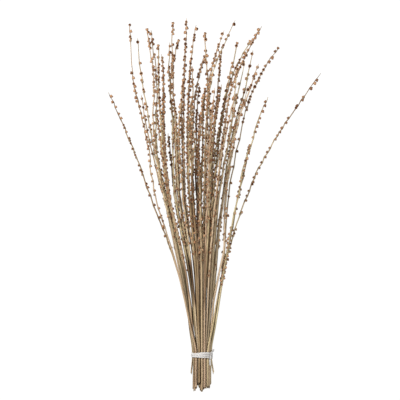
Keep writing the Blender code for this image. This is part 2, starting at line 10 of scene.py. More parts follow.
import bpy
import numpy as np
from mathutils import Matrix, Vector


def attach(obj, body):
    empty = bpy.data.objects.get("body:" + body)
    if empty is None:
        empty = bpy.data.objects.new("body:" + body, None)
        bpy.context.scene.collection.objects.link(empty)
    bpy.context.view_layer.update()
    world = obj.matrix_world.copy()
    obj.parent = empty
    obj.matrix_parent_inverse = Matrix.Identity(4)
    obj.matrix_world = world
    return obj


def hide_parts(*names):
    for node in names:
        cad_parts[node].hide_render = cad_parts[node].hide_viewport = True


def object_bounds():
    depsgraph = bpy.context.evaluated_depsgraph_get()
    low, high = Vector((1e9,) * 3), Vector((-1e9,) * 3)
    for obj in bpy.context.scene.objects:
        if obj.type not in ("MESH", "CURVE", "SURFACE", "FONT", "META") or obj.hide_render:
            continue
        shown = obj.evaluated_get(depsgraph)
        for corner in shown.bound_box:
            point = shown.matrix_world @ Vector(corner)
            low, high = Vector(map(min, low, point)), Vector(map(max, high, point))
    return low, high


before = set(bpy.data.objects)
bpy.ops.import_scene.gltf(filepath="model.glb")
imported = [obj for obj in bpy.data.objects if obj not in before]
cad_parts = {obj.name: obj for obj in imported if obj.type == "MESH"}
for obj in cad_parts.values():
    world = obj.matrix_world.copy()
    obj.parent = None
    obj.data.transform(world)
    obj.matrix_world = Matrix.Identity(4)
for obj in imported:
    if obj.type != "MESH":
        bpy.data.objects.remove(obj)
cad_box = [list(corner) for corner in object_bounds()]
LOW, HIGH = (np.array(corner) for corner in cad_box)

# Camera and light
PHOTO_WIDTH = 0.768  # what the photograph's 400 pixels span at the height of the bundle
VIEW_X, VIEW_Y = -0.0038, 0.2966  # the middle of the photograph
CAMERA_HEIGHT, SEEN_HEIGHT = 12.0, 0.05  # over the floor, and the height at which the span holds
SENSOR_MM = 36.0
HALF_FLOOR = 30.0
LAMPS = (  # name, place, width, power
    ("lamp_left", (-1.9, 1.5, 2.6), 0.8, 180.0),
    ("lamp_right", (2.0, -1.0, 3.0), 1.6, 76.0),
)
LIT_PLACE = (0, 0.3, 0)  # where both lamps point
SOFT_LIGHT = 0.34  # how strong the light from all round is

FAR = 9.0  # further apart than anything in the bundle
STRAND_SEED, TONE_SEED, STRING_SEED = 400, 5, 77  # the first one is that of a strand 0

# Stems
STRANDS = 57
RING_STEP = 0.004  # from ring to ring of a stem
SIDES = 10
# A stem's radius as a share of the reach of its CAD corners, by height in the bundle, and how much slimmer some are
SHARE_Y, STEM_SHARES = (0.04, 0.09, 0.17, 0.32, 0.42, 0.58), (0.97, 1.05, 1.06, 1.04, 0.94, 0.74)
SLIM_Y, SLIM = (0.08, 0.22), {1: 0.76, 2: 0.76, 3: 0.88, 53: 0.86, 54: 0.74, 55: 0.84, 56: 0.84, 57: 0.76}
TIP_Y, TIP_SHARES = np.array([-0.05, -0.002, 0.0]), (1, 0.62, 0.4)  # how a bare tip thins, by height from the tip
RIB_DEPTHS = (0.07, 0.035)  # of the two waves and of the five waves round a stem, as shares of its radius
RIB_DRIFT = 9  # how fast the waves turn along the stem, in radians a metre
KINKS, KINK_RISE = (0.0004, 0.0012), (0.15, 0.25)  # how far a stem bends away from a cup, low down and at the tips
KINK_START, KINK_END = 0.012, 0.01  # how far before the first cup and beyond the tip the line is straight again
SWELLING, SWELLING_LENGTH = 0.00035, 0.0018  # how much thicker a stem is under a cup
BESIDE_CUP = 0.0012  # a stem has a ring this far before and after each cup
STEEPNESS = (1.0, 2.4)  # how steep the cuts are, as their rise over a stem's radius
CUT_TURN = 0.8  # how much their directions vary, in radians
# The rings inside the edge of the cut end, as shares of its radius, how deep they lie, and the painted shade of the
# sunken pith there
CUT_SHARES, CUT_DEPTHS, PITH_SHADES = (0.62, 0.76, 0.93), (0.0030, 0.0004, 0.0), (0.85, 0.55, 0.15)
JOINT_SHADE, JOINT_LENGTH = 0.45, 0.0025  # how dark a stem is under a cup
PRESSED_GAP = 0.00142  # a stem gets painted shade where another one is nearer than about this
OPEN_MORE, OPEN_Y, OPEN_LENGTH = 0.5, 0.16, 0.07  # and than so much more where the stems open out: a bell curve of y

# Cups, the woody bases that held the fruit: rings of (radius, height, lobe in radius, lobe in height)
CUP_RINGS = np.array([
    (0.0010, -0.0008, 0.00, 0.0),
    (0.0019, 0.0004, 0.00, 0.0),
    (0.0026, 0.0016, 0.03, 0.0),
    (0.0027, 0.0030, 0.07, 0.0001),
    (0.0020, 0.0039, 0.12, 0.0003),
    (0.0013, 0.0031, 0.05, 0.0),
])
CUP_SHADES = (0.5, 0.3, 0.05, 0.0, 0.10, 0.9)  # painted shade on those rings: at the foot, where the cup meets the stem, and deepest in the hollow
CUP_SIDES = 9
CUP_HOLLOW = 0.0022  # the height of the hollow's bottom
CUP_REACH = 0.0028  # from a cup's middle to its side, while it is being placed
CUP_MIDDLE = 0.0019  # from a cup's foot to its middle
CUP_FOOT, PLACED_FOOT = 0.6, 0.7  # how far out its foot is, as a share of the stem's radius, and while being placed
TIP_FOOT, TIP_TURN = 0.0008, 0.25  # the cup on a capped tip: how far ahead its foot is, and how much it turns aside
CUP_LEAN = 0.35  # how far a cup leans from straight out towards the tip
CUP_ROUGHNESS = 0.05  # how uneven its rings are
CUP_TURN = 0.5  # how much its direction round the stem varies, in radians
SIZE_Y, CUP_SIZES = (0.25, 0.42, 0.50, 0.60), (0.92, 0.94, 1.15, 1.14)  # the size of cups by height in the bundle
SIZE_RANGE = (0.84, 1.16)  # and how much it varies
TOUCH = 0.0004  # how deep a cup may press into a stem or the floor when it is placed
CUPS_TOUCH = 0.0006  # how much deeper than that it may be placed in another cup
CUP_PRESS = 0.0003  # a cup's largest radius is half the way to the next cup of its strand and this

# How dark a strand is, from 0 to 1: that of most strands, and the others are drawn up to DARKEST_DRAWN
TONES = {
    1: 0.60, 2: 0.62, 4: 0.30, 6: 0.65, 9: 0.68, 10: 0.74, 11: 0.68, 12: 0.75, 13: 0.25, 14: 0.25, 15: 0.20, 16: 0.25,
    17: 0.20, 24: 0.90, 27: 0.85, 28: 0.92, 29: 0.75, 30: 0.70, 31: 0.65, 32: 0.75, 33: 0.75, 36: 0.75, 37: 0.20,
    38: 0.62, 39: 0.62, 40: 0.70, 47: 0.25, 48: 0.25, 49: 0.30, 50: 0.20, 51: 0.20, 52: 0.30, 53: 0.55, 54: 0.48,
    55: 0.15, 56: 0.30, 57: 0.58,
}
DARKEST_DRAWN = 0.95
# Changes along the bundle, each with the height where it starts and the length over which it comes about
GREY_TONE, GREYING, GREY_RISE = 0.42, 0.7, (0.22, 0.28)  # most of the way to one tone for all stems
TIP_TONE, TIP_RISE = 0.27, (0.36, 0.14)  # and the thin upper stems are this much darker
ROSIER, ROSY_RISE = 0.15, (-0.01, 0.05)  # the cut ends are this much rosier, and no more above here
STEM_STRETCH = 0.3  # how much darker a stem is in a stretch of 1
CUP_FOLLOWS = 0.6  # how far the cups follow their strand
CUP_TONE = 0.4  # they are darker on a strand darker than this, and paler on the others
FADING, FADE_RISE = 0.7, (0.33, 0.15)  # and how much less so at the tips
CUP_STRETCH = 0.7  # as if the strand were so much darker in a stretch of 1
CUP_PALER, PALE_RISE = 0.16, (0.15, 0.35)  # how much paler the lowest cups are than those at the tips
DARKEST_CUP = 0.92

# Where the bundle is darker or paler than its strands are alone: first and last strand, two heights, and how much
# A stretch also changes how wide the painted shade between stems is.
STRETCHES = (
    (1, 3, 0.10, 0.36, 0.4), (12, 20, 0.08, 0.20, 1.3), (32, 39, 0.08, 0.22, 0.65), (20, 29, 0.27, 0.36, 0.5),
    (8, 11, 0.28, 0.56, 0.4), (36, 41, 0.24, 0.38, -0.3), (41, 57, -0.07, 0.09, -0.6), (1, 20, -0.07, 0.09, 0.3),
    (34, 40, -0.07, 0.09, -0.3), (13, 15, 0.36, 0.54, -0.5), (20, 22, 0.35, 0.52, 0.5), (29, 32, 0.35, 0.50, 0.5),
    (39, 39, 0.42, 0.52, 0.5), (14, 17, 0.26, 0.38, -0.8), (49, 53, 0.12, 0.43, -0.9), (4, 7, 0.37, 0.54, -0.8),
    (44, 48, 0.43, 0.58, -0.6), (24, 28, 0.36, 0.54, -0.5), (1, 57, -0.08, 0.00, 0.15), (35, 37, 0.44, 0.60, -0.6),
    (54, 57, 0.08, 0.24, -0.5), (34, 38, 0.04, 0.21, -0.25), (1, 1, 0.22, 0.52, 0.6), (55, 57, 0.26, 0.60, 0.5),
    (54, 54, 0.42, 0.55, -0.6), (18, 21, 0.20, 0.28, -0.5), (9, 19, 0.10, 0.19, 0.5), (29, 29, 0.31, 0.43, 2.0),
    (31, 31, 0.32, 0.42, 0.8), (28, 28, 0.34, 0.43, -1.2), (39, 43, 0.35, 0.41, -0.6), (40, 40, 0.31, 0.37, -0.5),
)
STRETCH_END = 0.025  # how far in from its ends a stretch comes to its full amount
LEAST_STRETCH = 0.1  # the gap that gives a stem its painted shade is at least this share of the usual one

# The mean distance between cups along a strand, by strand number
SPACINGS = {
    1: 0.0145, 2: 0.0140, 3: 0.0150, 4: 0.0120, 5: 0.0150, 6: 0.0150, 9: 0.0055, 10: 0.0050, 11: 0.0065, 13: 0.0150,
    14: 0.0150, 15: 0.0140, 16: 0.0125, 17: 0.0100, 19: 0.0070, 20: 0.0060, 21: 0.0068, 22: 0.0065, 25: 0.0105,
    26: 0.0105, 27: 0.0100, 29: 0.0065, 30: 0.0065, 31: 0.0055, 32: 0.0065, 33: 0.0075, 34: 0.0100, 35: 0.0085,
    36: 0.0085, 37: 0.0120, 38: 0.0085, 39: 0.0075, 40: 0.0080, 41: 0.0100, 43: 0.0075, 44: 0.0110, 45: 0.0055,
    46: 0.0105, 47: 0.0150, 48: 0.0145, 49: 0.0150, 50: 0.0160, 51: 0.0160, 52: 0.0160, 53: 0.0160, 54: 0.0085,
    55: 0.0110, 56: 0.0110, 57: 0.0125,
}
USUAL_SPACING, SPACING_RANGE = 0.0088, (0.8, 1.35)  # that of the others, and how much it varies
SPARSE_LOW = (2.2, 0.18, 0.42)  # the cups stand this many times further apart at the lowest ones, between two heights
SPARSE_HIGH = (1.7, 0.005, 0.08)  # and at the tips, between two distances from the tip
CLUSTERED = 0.5  # the share of cups that stand right beside the last one
BESIDE_LAST = (0.0038, 0.0054)  # how far up from the last one those stand
FURTHER_UP = (0.7, 1.7)  # and the others, as shares of the spacing
NEAR_GIVEN = 0.0034  # no further cup comes this near those of the CAD node along the strand
TOP_CUP = 0.006  # nor this near the tip
START_BELOW = 0.050  # how far below those of the CAD node the further cups start at most
CLEAR_STRANDS, START_ABOVE = (1, 2, 54), 0.01  # strands on which they start so far above the lowest one of those
CLEAR_TO = {54: 0.47}  # and one on which they start as high as this
# Strands with cups close together low down: the distance between them and the two heights
CROWDED = {55: (0.0050, 0.165, 0.235), 56: (0.0048, 0.145, 0.240), 57: (0.0120, 0.160, 0.220)}
# Strands with a length between two heights that has no further cups
BARE = {2: (0.54, 0.60), 5: (0.54, 0.60), 41: (0.56, 0.61), 48: (0.50, 0.565)}


def smooth_step(t):
    """3t^2 - 2t^3 between 0 and 1, and level beyond them."""
    t = np.clip(t, 0, 1)
    return t * t * (3 - 2 * t)


def rise(y, start, length):
    """A smooth step in y from 0 at start to 1 a length further on."""
    return smooth_step((y - start) / length)


def unit(vectors):
    """The vectors, each made one unit long."""
    return vectors / np.linalg.norm(vectors, axis=-1, keepdims=True)


def corners_of(name):
    """The corners of a CAD node, each once, as rows of x, y and z."""
    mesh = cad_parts[name].data
    flat = np.empty(3 * len(mesh.vertices), np.float32)
    mesh.vertices.foreach_get("co", flat)
    return np.unique(np.round(flat.reshape(-1, 3).astype(float), 6), axis=0)


def stem_and_tops(name):
    """The rings of a strand's CAD stem, as middles and reaches, and the tops of its caps.

    Four corners that share one y are a ring: its middle is their mean and its reach their root mean square
    distance from it. A corner that is alone at its y is the top of a cap.
    """
    corners = corners_of(name)
    _, level, count = np.unique(np.round(corners[:, 1], 5), return_inverse=True, return_counts=True)
    middles = np.stack([np.bincount(level, corners[:, axis]) / count for axis in range(3)], axis=1)
    spread = ((corners - middles[level]) ** 2).sum(axis=1)
    reaches = np.sqrt(np.bincount(level, spread) / count)
    return middles[count == 4], reaches[count == 4], corners[count[level] == 1]


def straight_on(y, knot_y, knots):
    """Straight lines between the knots, carried on straight beyond both ends."""
    inside = np.interp(y, knot_y, knots)
    before = (knots[1] - knots[0]) / (knot_y[1] - knot_y[0]) * np.minimum(y - knot_y[0], 0)
    beyond = (knots[-1] - knots[-2]) / (knot_y[-1] - knot_y[-2]) * np.maximum(y - knot_y[-1], 0)
    return inside + before + beyond


class Strand:
    """One strand: its line from the cut end to the tip, its thickness, and its cups as heights and directions."""

    def __init__(self, number, draw):
        self.number = number
        self.node = f"strand_{number:02d}"
        middles, reaches, tops = stem_and_tops(self.node)
        self.capped = reaches[-2] > 1.5 * reaches[-3]  # its CAD stem ends in a wider cap of two rings
        self.cut, self.tip = middles[0, 1], middles[-1, 1]
        if self.capped:
            middles, reaches = middles[:-2], reaches[:-2]
        self.knots = middles
        self.knot_reaches = reaches
        self.draw = draw
        away = tops - self.middle(tops[:, 1])
        order = np.argsort(tops[:, 1])
        self.cup_y = list(tops[order, 1])
        self.cup_angle = list(np.arctan2(away[order, 2], away[order, 0]))

    def middle(self, y):
        """The stem's middle at y: the mean of its straight-sided CAD line a little below, at and above y."""
        y = np.asarray(y, float)
        round_off = 0.009
        shifted = [y - round_off, y, y + round_off]
        x = sum(straight_on(at, self.knots[:, 1], self.knots[:, 0]) for at in shifted) / 3
        z = sum(straight_on(at, self.knots[:, 1], self.knots[:, 2]) for at in shifted) / 3
        return np.stack([x, y, z], axis=-1)

    def radius(self, y):
        """The stem's radius at y, before it swells at the cups and thins at the tip."""
        share = np.interp(y, SHARE_Y, STEM_SHARES) * np.interp(y, SLIM_Y, (1, SLIM.get(self.number, 1)))
        return share * np.interp(y, self.knots[:, 1], self.knot_reaches)


TABLE_STEP = 0.001  # from row to row of the table of the places that every strand passes


class Neighbours:
    """Where all the strands and cups are, to find out how much room there is at a place."""

    def __init__(self, strands):
        self.start = min(strand.cut for strand in strands)
        count = int((max(strand.tip for strand in strands) - self.start) / TABLE_STEP) + 2
        y = self.start + TABLE_STEP * np.arange(count)
        self.places = np.full((count, len(strands), 2), FAR)
        self.reaches = np.zeros((count, len(strands)))
        for column, strand in enumerate(strands):
            there = (y >= strand.cut) & (y <= strand.tip)
            self.places[there, column] = strand.middle(y[there])[:, [0, 2]]
            self.reaches[there, column] = strand.radius(y[there])
        self.cups = np.empty((0, 3))

    def room(self, own, middles):
        """The room round each of several middles at one y: to the other stems, to the cups and to the floor."""
        row = int(round((middles[0, 1] - self.start) / TABLE_STEP))
        rows = np.clip([row - 2, row, row + 2], 0, len(self.places) - 1)
        apart = np.linalg.norm(self.places[rows][:, :, None] - middles[None, None, :, [0, 2]], axis=-1)
        apart -= self.reaches[rows][:, :, None]
        apart[:, own] = FAR
        room = np.minimum(apart.min(axis=(0, 1)), middles[:, 2]) - CUP_REACH
        near = self.cups[np.abs(self.cups[:, 1] - middles[0, 1]) < 3 * CUP_REACH]
        if len(near):
            to_cups = np.linalg.norm(near[:, None] - middles[None], axis=-1).min(axis=0)
            room = np.minimum(room, to_cups - 2 * CUP_REACH + CUPS_TOUCH)
        return room


def darker(number, y):
    """How much darker than usual a strand is at y: the sum of its stretches, each with soft ends."""
    amount = 0 * y
    for first, last, low, high, change in STRETCHES:
        if first <= number <= last:
            amount = amount + change * rise(y, low, STRETCH_END) * rise(-y, -high, STRETCH_END)
    return amount


def pressed(around, column, grid):
    """How near the other stems come to each corner of a stem, painted as shade: a bell curve of the gap, 1 where they
    touch.

    The curve is wider where the stems open out and where the strand's stretches make it darker.
    """
    rows = np.round((grid[:, 0, 1] - around.start) / TABLE_STEP).astype(int)
    rows = np.clip(rows, 0, len(around.places) - 1)
    gaps = np.linalg.norm(grid[:, :, [0, 2]][:, :, None] - around.places[rows][:, None], axis=-1)
    gaps -= around.reaches[rows][:, None]
    gaps[:, :, column] = FAR
    near = PRESSED_GAP * (1 + OPEN_MORE * np.exp(-(((grid[:, :, 1] - OPEN_Y) / OPEN_LENGTH) ** 2)))
    near *= np.maximum(1 + darker(column + 1, grid[:, :, 1]), LEAST_STRETCH)
    return np.exp(-((np.maximum(gaps.min(axis=2), 0) / near) ** 2))


def cup_middles(strand, y, angles):
    """The middles of cups that stand at y, one for each angle round the stem."""
    out = PLACED_FOOT * strand.radius(y) + CUP_MIDDLE
    across = np.stack([np.cos(angles), 0 * angles, np.sin(angles)], axis=-1)
    return strand.middle(y) + out * across + [0, CUP_LEAN * CUP_MIDDLE, 0]


def add_cups(strands):
    """Gives every strand its cups: those of its CAD node, and between them as many more as its spacing asks for.

    A cup turns to the side opposite the last one where there is room for it, and otherwise further round. Where
    there is none at all, it is left out.
    """
    around = Neighbours(strands)
    for strand in strands:
        own = [cup_middles(strand, y, np.array([angle]))[0] for y, angle in zip(strand.cup_y, strand.cup_angle)]
        around.cups = np.vstack([around.cups, *own])
    turns = np.array([0, 1, -1, 2, -2, 3, -3, 4]) * math.pi / 4
    for column, strand in enumerate(strands):
        draw = strand.draw
        spacing = SPACINGS.get(strand.number, USUAL_SPACING * draw.uniform(*SPACING_RANGE))
        y = min(strand.cup_y) + (START_ABOVE if strand.number in CLEAR_STRANDS else draw.uniform(-START_BELOW, 0.0))
        y = max(y, CLEAR_TO.get(strand.number, y))
        near, crowded_from, crowded_to = CROWDED.get(strand.number, (spacing, y, y))
        y = min(y, crowded_from)
        given = np.array(strand.cup_y)
        last = draw.uniform(0, 2 * math.pi)
        bare_from, bare_to = BARE.get(strand.number, (strand.tip, strand.tip))
        while y < strand.tip - TOP_CUP:
            if bare_from < y < bare_to:
                y = bare_to
                continue
            if np.abs(given - y).min() > NEAR_GIVEN:
                angles = last + math.pi + draw.normal(0, CUP_TURN) + turns
                middles = cup_middles(strand, y, angles)
                fits = np.flatnonzero(around.room(column, middles) > -TOUCH)
                if len(fits):
                    strand.cup_y.append(y)
                    strand.cup_angle.append(angles[fits[0]])
                    around.cups = np.vstack([around.cups, middles[fits[0]]])
                    last = angles[fits[0]]
            apart = spacing * sparseness(y, SPARSE_LOW) * sparseness(strand.tip - y, SPARSE_HIGH)
            if y < crowded_to:
                apart = near
            clustered = draw.random() < CLUSTERED
            y += draw.uniform(*BESIDE_LAST) if clustered else draw.uniform(*FURTHER_UP) * apart
        order = np.argsort(strand.cup_y)
        strand.cup_y = np.array(strand.cup_y)[order]
        strand.cup_angle = np.array(strand.cup_angle)[order]
    return around


def sparseness(distance, rule):
    """How many times further apart the cups stand: the rule's first value at its second, and once at its third."""
    most, near, far = rule
    return most + (1 - most) * smooth_step((distance - near) / (far - near))


def kink(y):
    """How far a stem bends away from a cup at y."""
    return KINKS[0] + (KINKS[1] - KINKS[0]) * rise(y, *KINK_RISE)


def frames_along(path, facing):
    """Two directions across a path at each of its points, so that first x second runs along the path."""
    along = unit(np.gradient(path, axis=0))
    first = unit(facing - (facing * along).sum(axis=-1, keepdims=True) * along)
    return along, first, np.cross(along, first)


def tube_faces(rings, sides, first=0):
    """The faces of a grid of rings x sides closed at each end on a pole, as quads and triangles, pointing out.

    The corners are numbered ring by ring from first, and then come the pole at the start and that at the end.
    """
    ring, side = np.meshgrid(np.arange(rings - 1), np.arange(sides), indexing="ij")
    beside = (side + 1) % sides
    quads = np.stack([side, beside, sides + beside, sides + side]) + ring * sides
    side = np.arange(sides)
    beside = (side + 1) % sides
    top = (rings - 1) * sides
    start = np.stack([np.full(sides, rings * sides), beside, side])
    end = np.stack([np.full(sides, rings * sides + 1), top + side, top + beside])
    return quads.reshape(4, -1).T + first, np.hstack([start, end]).T + first


class Shape:
    """The parts of one piece's mesh: corners, faces with their material, and values at the corners."""

    def __init__(self):
        self.corners, self.quads, self.triangles = [], [], []
        self.finishes_of_quads, self.finishes_of_triangles = [], []
        self.values = {"fibre": [], "tone": [], "shade": [], "warmth": []}
        self.count = 0

    def add_tube(self, grid, poles, finish, fibre, tone, shade, warmth=0.5):
        """Adds a closed tube: a grid of rings x sides x 3, and its two poles. Values come ring by ring, then poles."""
        rings, sides = grid.shape[:2]
        quads, triangles = tube_faces(rings, sides, self.count)
        self.corners.append(np.vstack([grid.reshape(-1, 3), poles]))
        self.quads.append(quads)
        self.triangles.append(triangles)
        self.finishes_of_quads.append(np.full(len(quads), finish))
        self.finishes_of_triangles.append(np.full(len(triangles), finish))
        self.values["fibre"].append(fibre)
        self.values["tone"].append(np.broadcast_to(tone, len(fibre)))
        self.values["shade"].append(shade)
        self.values["warmth"].append(np.broadcast_to(warmth, len(fibre)))
        self.count += rings * sides + 2

    def piece(self, name, materials):
        """The mesh object of all that was added, kept inside the CAD box."""
        corners = np.clip(np.vstack(self.corners), LOW, HIGH)
        faces = np.vstack(self.quads).tolist() + np.vstack(self.triangles).tolist()
        mesh = bpy.data.meshes.new(name)
        mesh.from_pydata(corners.tolist(), [], faces)
        for material in materials:
            mesh.materials.append(material)
        finishes = np.concatenate(self.finishes_of_quads + self.finishes_of_triangles).astype(np.int32)
        mesh.polygons.foreach_set("material_index", finishes)
        mesh.polygons.foreach_set("use_smooth", np.full(len(faces), True))
        for label, parts in self.values.items():
            kind, field = ("FLOAT_VECTOR", "vector") if label == "fibre" else ("FLOAT", "value")
            attribute = mesh.attributes.new(label, kind, "POINT")
            attribute.data.foreach_set(field, np.concatenate(parts).astype(np.float32).ravel())
        mesh.update()
        thing = bpy.data.objects.new(name, mesh)
        bpy.context.scene.collection.objects.link(thing)
        return thing


STEM, CUP = 0, 1  # the slots of a strand's materials


def add_stem(shape, strand, around):
    """The stem: a ribbed circle carried along the strand's line.

    The line bends away from each cup in straight stretches. The radius follows the CAD stem, thins towards a bare
    tip, swells under each cup as a bell curve, and varies round the stem as two cosines whose phases drift. The
    cut end is a slanted plane with a sunken pith.
    """
    draw = strand.draw
    count = int((strand.knots[-1, 1] - strand.cut) / RING_STEP)
    y = np.linspace(strand.cut, strand.knots[-1, 1], count)
    cups = strand.cup_y
    y = np.unique(np.concatenate([y, cups - BESIDE_CUP, cups + BESIDE_CUP]))
    y = y[(y >= strand.cut) & (y <= strand.knots[-1, 1])]
    path = strand.middle(y)
    knot_y = np.concatenate([[cups[0] - KINK_START], cups, [strand.tip + KINK_END]])
    for axis, part in ((0, np.cos(strand.cup_angle)), (2, np.sin(strand.cup_angle))):
        path[:, axis] -= kink(y) * np.interp(y, knot_y, np.concatenate([[0], part, [0]]), left=0)
    reach = strand.radius(y)
    if not strand.capped:
        reach = reach * np.interp(y, strand.tip + TIP_Y, TIP_SHARES)
    reach = reach + SWELLING * np.exp(-(((y[:, None] - cups) / SWELLING_LENGTH) ** 2)).max(axis=1)
    along, first, second = frames_along(path, np.array([1.0, 0, 0]))
    turn = np.arange(SIDES) * 2 * math.pi / SIDES
    two, five = draw.uniform(0, 6, 2)[:, None] + y * draw.normal(0, RIB_DRIFT, 2)[:, None]
    ribs = 1 + RIB_DEPTHS[0] * np.cos(2 * turn - two[:, None]) + RIB_DEPTHS[1] * np.cos(5 * turn - five[:, None])
    across = (reach[:, None] * ribs)[..., None] * (
        np.cos(turn)[:, None] * first[:, None] + np.sin(turn)[:, None] * second[:, None]
    )
    # The cut end: three more rings inside the first one, and the whole slanted by its distance along one direction.
    lean = draw.normal(-math.pi / 2, CUT_TURN)
    steepness = draw.uniform(*STEEPNESS)
    slanted = unit(across[0]) @ (math.cos(lean) * first[0] + math.sin(lean) * second[0])
    cut_rings = []
    for share, depth in zip(CUT_SHARES, CUT_DEPTHS):
        lift = steepness * reach[0] * (1 + share * slanted) + depth
        cut_rings.append(path[0] + share * across[0] + lift[:, None] * along[0])
    grid = path[:, None] + across
    grid[0] += (steepness * reach[0] * (1 + slanted))[:, None] * along[0]
    grid[0, :, 1] = np.minimum(grid[0, :, 1], y[1] - 0.0002)
    grid = np.concatenate([cut_rings, grid])
    poles = np.stack([cut_rings[0].mean(axis=0), path[-1] + 0.4 * reach[-1] * along[-1]])
    # The values at the corners
    more = len(cut_rings)
    length = np.concatenate([np.full(more, y[0]), y])
    radius = np.concatenate([np.full(more, reach[0]), reach])
    round_stem = [radius[:, None] * np.cos(turn), radius[:, None] * np.sin(turn)]
    fibre = np.stack([*round_stem, np.broadcast_to(length[:, None], grid.shape[:2])], axis=-1).reshape(-1, 3)
    fibre = np.vstack([fibre, [[0, 0, y[0]], [0, 0, y[-1]]]])
    fibre += [0.004 * (strand.number % 8), 0, 0.07 * (strand.number // 8)]  # no two strands share their streaks
    # Painted shade in the sunken pith of the cut end.
    pith = np.zeros(len(grid))
    pith[:more] = PITH_SHADES
    joint = JOINT_SHADE * np.exp(-(((length[:, None] - cups) / JOINT_LENGTH) ** 2)).max(axis=1)
    # Painted shade where other stems come near.
    shade_between_stems = pressed(around, strand.number - 1, grid).ravel()
    shade = np.maximum(np.repeat(np.maximum(pith, joint), SIDES), shade_between_stems)
    # The poles: painted shade in the middle of the sunken pith, and a darker tip.
    shade = np.concatenate([shade, [0.9, 0.3]])
    at = np.append(np.repeat(length, SIDES), y[[0, -1]])
    tone = strand.tone + (GREY_TONE - strand.tone) * (GREYING * rise(at, *GREY_RISE))
    tone = tone + STEM_STRETCH * darker(strand.number, at)
    tone = tone + TIP_TONE * rise(at, *TIP_RISE)
    rosier = ROSIER * (1 - rise(at, *ROSY_RISE))
    shape.add_tube(grid, poles, STEM, fibre, tone, shade, strand.warmth + rosier)


def add_cup_grids(shape, strand):
    """The cups: rings of CUP_RINGS about an axis that leans from straight out towards the tip, with three lobes.

    Their sizes are drawn, and where two cups of the strand are close together, only as large as CUP_PRESS allows.
    """
    draw = strand.draw
    y, angle = np.array(strand.cup_y), np.array(strand.cup_angle)
    along = unit(strand.middle(y + 0.002) - strand.middle(y - 0.002))
    out = np.stack([np.cos(angle), 0 * angle, np.sin(angle)], axis=-1)
    out = unit(out - (out * along).sum(axis=-1, keepdims=True) * along)
    foot = strand.middle(y) - kink(y)[:, None] * out + (CUP_FOOT * strand.radius(y))[:, None] * out
    axis = unit(out + CUP_LEAN * along)
    if strand.capped:
        end = strand.knots[-1, 1]
        ahead = unit(strand.middle(end) - strand.middle(end - 0.004))
        foot = np.vstack([foot, strand.middle(end) + TIP_FOOT * ahead])
        axis = np.vstack([axis, unit(ahead + TIP_TURN * draw.normal(size=3))])
    count = len(foot)
    first = unit(np.cross(axis, [0.13, 0.2, 0.97]))
    second = np.cross(axis, first)
    size = draw.uniform(*SIZE_RANGE, count) * np.interp(foot[:, 1], SIZE_Y, CUP_SIZES)
    middles = foot + CUP_MIDDLE * axis
    apart = np.linalg.norm(middles[:, None] - middles[None], axis=-1) + FAR * np.eye(count)
    size = np.minimum(size, (0.5 * apart.min(axis=1) + CUP_PRESS) / CUP_RINGS[:, 0].max())
    turn = np.arange(CUP_SIDES) * 2 * math.pi / CUP_SIDES
    lobes = np.cos(3 * (turn - draw.uniform(0, 2, count)[:, None]))[:, None]
    rough = 1 + CUP_ROUGHNESS * draw.normal(size=(count, len(CUP_RINGS), CUP_SIDES))
    radius, height, wide, high = CUP_RINGS.T[:, None, :, None]
    radius = radius * (1 + wide * lobes) * rough * size[:, None, None]
    height = (height + high * lobes) * size[:, None, None]
    around = np.cos(turn)[:, None] * first[:, None] + np.sin(turn)[:, None] * second[:, None]
    grids = foot[:, None, None] + radius[..., None] * around[:, None] + height[..., None] * axis[:, None, None]
    paler = CUP_PALER * (1 - rise(foot[:, 1], *PALE_RISE))
    fading = 1 - FADING * rise(foot[:, 1], *FADE_RISE)
    follows = CUP_FOLLOWS * ((strand.tone - CUP_TONE) * fading + CUP_STRETCH * darker(strand.number, foot[:, 1]))
    tones = np.clip(draw.random(count) + follows - paler, 0, DARKEST_CUP)
    # Painted shade: the foot pole where the cup meets the stem, and the hollow's bottom darkest.
    shade = np.append(np.repeat(CUP_SHADES, CUP_SIDES), [0.5, 1.0])
    for number in range(count):
        start = foot[number] + CUP_RINGS[0, 1] * axis[number]
        hollow = foot[number] + size[number] * CUP_HOLLOW * axis[number]
        local = np.stack([
            radius[number] * np.cos(turn), radius[number] * np.sin(turn), height[number],
        ], axis=-1).reshape(-1, 3)
        place = np.array([number % 12, number // 12, strand.number]) * 0.008
        fibre = np.vstack([local, [[0, 0, 0], [0, 0, CUP_HOLLOW]]]) + place
        shape.add_tube(grids[number], np.stack([start, hollow]), CUP, fibre, tones[number], shade)


class Socket:
    """A shader socket. An expression on sockets and numbers adds the Math nodes that work it out."""

    def __init__(self, finish, socket):
        self.finish, self.socket = finish, socket

    def math(self, operation, *terms):
        return self.finish.node("ShaderNodeMath", {"operation": operation}, dict(enumerate(terms)))

    def __add__(self, other):
        return self.math("ADD", self, other)

    def __sub__(self, other):
        return self.math("SUBTRACT", self, other)

    def __rsub__(self, other):
        return self.math("SUBTRACT", other, self)

    def __mul__(self, other):
        return self.math("MULTIPLY", self, other)

    __radd__, __rmul__ = __add__, __mul__


